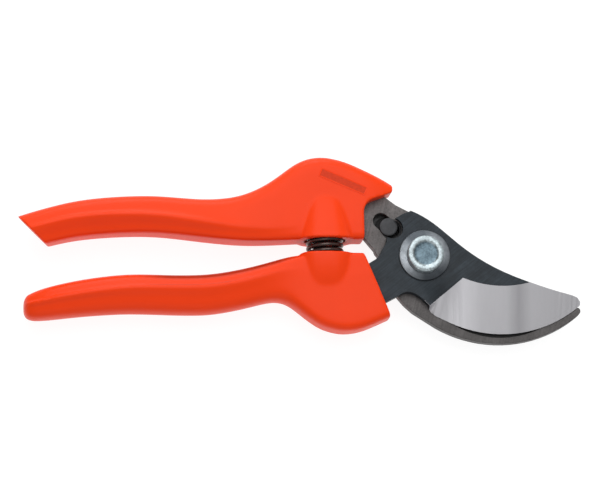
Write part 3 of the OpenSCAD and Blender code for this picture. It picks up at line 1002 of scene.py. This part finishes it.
@cache
def etched_plastic():
    """The panel's etched field: the same plastic, duller and a little deeper in colour."""
    return clouded("etched_plastic", 900, 2600, shades(handles().plastic, 0.5, 0.9),
                   (0.5, 0.65), relief=(0.5, 0.1 * MM), Specular_IOR_Level=0.2)


@cache
def dark_coating():
    """The cutting blade's blue-black coating, rubbed a little lighter in streaks."""
    material, tree, shader = finish("dark_coating", Metallic=0.3, Specular_IOR_Level=0.3)
    look = use(tree, mottle(), Cloud_Scale=130, Grain_Scale=2200)
    lines = use(tree, brushing(), Scale=1500, Turn=0.9)["Lines"]
    streaks = spread(tree, maths(tree, "MULTIPLY", lines, look["Clouds"]), 0.18, 0.42)
    colour = blend(tree, streaks, *shades(steel().coating, 0.72, 1.5))
    dress(tree, shader, colour, look["Grain"], 0.38, 0.56)
    bump(tree, shader, maths(tree, "ADD", lines, look["Grain"]), 0.2, 0.03 * MM)
    return material


@cache
def ground_steel():
    """The ground bevel: bare steel with fine belt marks, a painted reflection as a dark band
    across it, and a bright heel.
    """
    material, tree, shader = finish("ground_steel", Metallic=0.9)
    lines = use(tree, brushing(), Scale=900, Turn=0.0)["Lines"]
    along = add(tree, "ShaderNodeSeparateXYZ", {0: spot(tree)}).outputs["X"]
    # Painted reflection: a dark band across the bevel, centred 33.5 mm along
    band = maths(tree, "ABSOLUTE", maths(tree, "SUBTRACT", along, 33.5 * MM))
    shade = spread(tree, band, 0.2 * MM, 4.5 * MM)
    dark, plain, bright = shades(steel().ground, 0.7, 0.92, 1.3)
    heel = spread(tree, along, 20 * MM, 8 * MM)
    colour = blend(tree, heel, blend(tree, shade, dark, plain), bright)
    dress(tree, shader, colour, lines, 0.42, 0.52)
    return material


@cache
def plate_steel():
    """The counter-blade's grey-brown steel, darker on the hook, with a near-black painted shadow
    beside the catch's pin.
    """
    material, tree, shader = finish("plate_steel", Metallic=0.55)
    look = use(tree, mottle(), Cloud_Scale=160, Grain_Scale=1900)
    lines = use(tree, brushing(), Scale=1300, Turn=0.25)["Lines"]
    marks = maths(tree, "ADD", lines, look["Grain"])
    dark, light = shades(steel().plate, 0.7, 1.35)
    # Painted shadow: a near-black disc beside the catch's pin, in the notch
    place, shadow = spot(tree), (PIN_X + 1.15 * MM, PIN_Y - 1.0 * MM, MID_Z)
    clear = spread(tree, vectors(tree, "DISTANCE", place, shadow)["Value"], 3.55 * MM, 3.75 * MM)
    low = add(tree, "ShaderNodeSeparateXYZ", {0: place}).outputs["Y"]
    # The hook's own darker, granular tone
    hook = spread(tree, low, -14 * MM, -24 * MM, 0.0, 0.5)
    plain = blend(tree, spread(tree, marks, 0.75, 1.3), dark, light)
    shaded = blend(tree, hook, plain, shades(dark, 0.6)[0])
    colour = blend(tree, clear, (0.004, 0.004, 0.005), shaded)
    dress(tree, shader, colour, look["Clouds"], 0.42, 0.6)
    bump(tree, shader, marks, 0.3, 0.04 * MM)
    return material


@cache
def worn_plate():
    """The counter-blade's eased edges, rubbed brighter and lightened further as a painted
    highlight.
    """
    return clouded("worn_plate", 300, 1500, shades(steel().plate, 0.9, 1.9), (0.3, 0.5),
                   Metallic=0.8)


@cache
def worn_edge():
    """The cutting blade's eased edges, where the coating is thin, lightened in patches as a
    painted highlight.
    """
    return clouded("worn_edge", 350, 1500, shades(steel().coating, 1.2, 4.5), (0.3, 0.5),
                   patches=(0.42, 0.62), Metallic=0.7)


@cache
def groove_black():
    """Near-black and dull, as painted shade on the sap groove; the catch's washer takes it too.
    """
    return clouded("groove_black", 200, 1600,
                   ((0.004, 0.004, 0.004), (0.014, 0.013, 0.013)), (0.6, 0.8), Metallic=0.2)


@cache
def zinc():
    """The bolt's zinc plating, pebbled, with a darker dish in the middle of the head."""
    material, tree, shader = finish("zinc", Metallic=0.75)
    radius = use(tree, from_axis())["Radius"]
    look = use(tree, mottle(), Cloud_Scale=420, Grain_Scale=1300)
    flecks = spread(tree, maths(tree, "ADD", look["Clouds"], look["Grain"]), 0.8, 1.2)
    land = blend(tree, flecks, *shades(steel().zinc, 0.45, 0.95))
    dish = blend(tree, flecks, (0.055, 0.085, 0.105), (0.155, 0.22, 0.26))
    ragged = maths(tree, "ADD", radius, maths(tree, "MULTIPLY", look["Clouds"], 0.8))
    colour = blend(tree, spread(tree, ragged, 4.3, 4.9), dish, land)
    dress(tree, shader, colour, look["Grain"], 0.3, 0.5)
    bump(tree, shader, look["Grain"], 0.5, 0.06 * MM)
    return material


@cache
def zinc_plain():
    """Zinc plating on the nut and the back washers."""
    return clouded("zinc_plain", 260, 1500, shades(steel().zinc, 0.7, 1.1), (0.28, 0.42),
                   relief=(0.2, 0.04 * MM), Metallic=0.85)


@cache
def lathe_turned():
    """The washer's lathe-turned face, with a painted highlight to either side of the axis."""
    material, tree, shader = finish("lathe_turned", Metallic=0.85)
    axis = use(tree, from_axis(), Ring_Scale=6.0)
    look = use(tree, mottle(), Cloud_Scale=200, Grain_Scale=1700)
    rings = maths(tree, "ADD", axis["Rings"], look["Clouds"])
    # Painted highlight: lighter to either side of the axis, darker above and below it
    glint = maths(tree, "MULTIPLY", spread(tree, rings, 0.8, 1.2, 0.45, 1.0),
                  spread(tree, axis["Sideways"], 0.35, 0.95, 0.12, 1.0))
    colour = blend(tree, glint, (0.035, 0.042, 0.05), (0.31, 0.335, 0.36))
    dress(tree, shader, colour, look["Grain"], 0.3, 0.46)
    bump(tree, shader, axis["Rings"], 0.35, 0.05 * MM)
    return material


@cache
def spring_wire():
    """Oiled black spring wire."""
    return clouded("spring_wire", 300, 2000,
                   ((0.05, 0.036, 0.032), (0.13, 0.10, 0.09)), (0.2, 0.34), Metallic=0.8)


@cache
def pin_black():
    """The catch pin's blackened end."""
    return clouded("pin_black", 260, 1400,
                   ((0.018, 0.019, 0.021), (0.048, 0.050, 0.055)), (0.42, 0.58),
                   relief=(0.3, 0.05 * MM), Metallic=0.4)


@cache
def button_plastic():
    """The thumb button's matt black plastic."""
    return clouded("button_plastic", 150, 1300,
                   ((0.012, 0.012, 0.012), (0.024, 0.024, 0.025)), (0.45, 0.6),
                   relief=(0.3, 0.05 * MM))


# --- Stage ----------------------------------------------------

# Soft lights: name, place, what it is aimed at, side of the square, and watts
LIGHTS = (
    ("overhead", (-0.05, 0.35, 0.85), (-0.05, 0, 0), 0.8, 5.1),
    ("back_strip", (-0.05, 0.8, 0.3), (-0.05, 0, 0), 0.4, 2.4),
    ("front_fill", (-0.1, -0.7, 0.5), (-0.08, 0, 0), 0.6, 0.7),
)
WHITE = (1, 1, 1, 1)
FLOOR_Z, FLOOR_SIDE, FLOOR_GLOW = -0.2 * MM, 6, 0.9
ROOM_LIGHT = 0.42
# The camera's aim in the plan, in mm, and its lens and film width
AIM = (-43.986, 2.625)
LENS, FILM = 338.95596, 36


def lay_floor(colour):
    """A floor that glows, so that it stays nearly white under the tool's soft shadow."""
    floor = new_piece(bpy.ops.mesh.primitive_plane_add, "floor", size=FLOOR_SIDE,
                      location=(0, 0, FLOOR_Z))
    done(floor)
    material = finish("studio_floor", Roughness=0.9, Base_Color=(*colour, 1),
                      Emission_Color=WHITE, Emission_Strength=FLOOR_GLOW)[0]
    floor.data.materials.append(material)


def add_light(name, place, aim, size, power):
    """A square soft light at a place, turned to its aim."""
    clear_selection()
    way = Vector(aim) - Vector(place)
    bpy.ops.object.light_add(type="AREA", location=place,
                             rotation=way.to_track_quat("-Z", "Y").to_euler())
    lamp = bpy.context.object
    lamp.name, lamp.data.size, lamp.data.energy = name, size, power


def light_room(scene):
    """A dim white room that the camera sees as plain white."""
    scene.world = bpy.data.worlds.new("studio")
    scene.world.use_nodes = True
    tree = scene.world.node_tree
    lit = tree.nodes["Background"]
    lit.inputs["Color"].default_value = WHITE
    lit.inputs["Strength"].default_value = ROOM_LIGHT
    shown = add(tree, "ShaderNodeBackground", {"Color": WHITE, "Strength": 1.0})
    path = add(tree, "ShaderNodeLightPath")
    mix = add(tree, "ShaderNodeMixShader", {0: path.outputs["Is Camera Ray"],
                                            1: lit.outputs[0], 2: shown.outputs[0]})
    tree.links.new(mix.outputs[0], tree.nodes["World Output"].inputs["Surface"])


def add_camera(scene):
    """The camera, over the tool and leaning towards its lower handle, with a long lens."""
    stage = scene.pruner_stage
    a, e, r = stage.azimuth, stage.elevation, stage.roll
    back = Vector((math.sin(a) * math.cos(e), math.sin(e), math.cos(a) * math.cos(e)))
    right = Vector((math.cos(a), 0, -math.sin(a)))
    up = back.cross(right)
    turned_right = right * math.cos(r) + up * math.sin(r)
    turned_up = up * math.cos(r) - right * math.sin(r)
    target = Vector((AIM[X] * MM, AIM[Y] * MM, MID_Z))
    clear_selection()
    bpy.ops.object.camera_add(location=target + back * stage.distance)
    camera = bpy.context.object
    camera.rotation_euler = Matrix((turned_right, turned_up, back)).transposed().to_euler()
    camera.data.lens, camera.data.sensor_width = LENS, FILM
    camera.data.clip_start, camera.data.clip_end = 0.01, 20
    scene.camera = camera


class PRUNER_OT_stage(bpy.types.Operator):
    """Set up the floor, the soft light and the camera"""

    bl_idname = "pruner.stage"
    bl_label = "Stage"

    def execute(self, context):
        lay_floor(context.scene.pruner_stage.floor)
        for light in LIGHTS:
            add_light(*light)
        light_room(context.scene)
        context.scene.view_settings.view_transform = "Standard"
        add_camera(context.scene)
        return {"FINISHED"}


class PRUNER_PT_sidebar(bpy.types.Panel):
    """The pruner's pieces, in the order that they are built"""

    bl_idname = "PRUNER_PT_sidebar"
    bl_label = "Pruner"
    bl_space_type = "VIEW_3D"
    bl_region_type = "UI"
    bl_category = "Pruner"

    def draw(self, context):
        for name in SETTINGS:
            box = self.layout.box()
            for key in SETTINGS[name].__annotations__:
                box.prop(getattr(context.scene, name), key)
        for step in STEPS:
            self.layout.operator(step.bl_idname)


STEPS = (PRUNER_OT_stage, PRUNER_OT_upper_handle, PRUNER_OT_lower_handle, PRUNER_OT_badge,
         PRUNER_OT_cutting_blade, PRUNER_OT_counter_blade, PRUNER_OT_pivot,
         PRUNER_OT_back_hardware, PRUNER_OT_return_spring, PRUNER_OT_catch)


def register():
    """Adds the settings, the steps and the panel."""
    for name, group in SETTINGS.items():
        bpy.utils.register_class(group)
        setattr(bpy.types.Scene, name, bpy.props.PointerProperty(type=group))
    for step in STEPS:
        bpy.utils.register_class(step)
    bpy.utils.register_class(PRUNER_PT_sidebar)


def unregister():
    """Removes what register added."""
    bpy.utils.unregister_class(PRUNER_PT_sidebar)
    for step in reversed(STEPS):
        bpy.utils.unregister_class(step)
    for name, group in reversed(SETTINGS.items()):
        delattr(bpy.types.Scene, name)
        bpy.utils.unregister_class(group)


def main():
    """Builds every piece in order."""
    register()
    for step in STEPS:
        group, name = step.bl_idname.split(".")
        getattr(getattr(bpy.ops, group), name)()


if __name__ == "__main__":
    main()
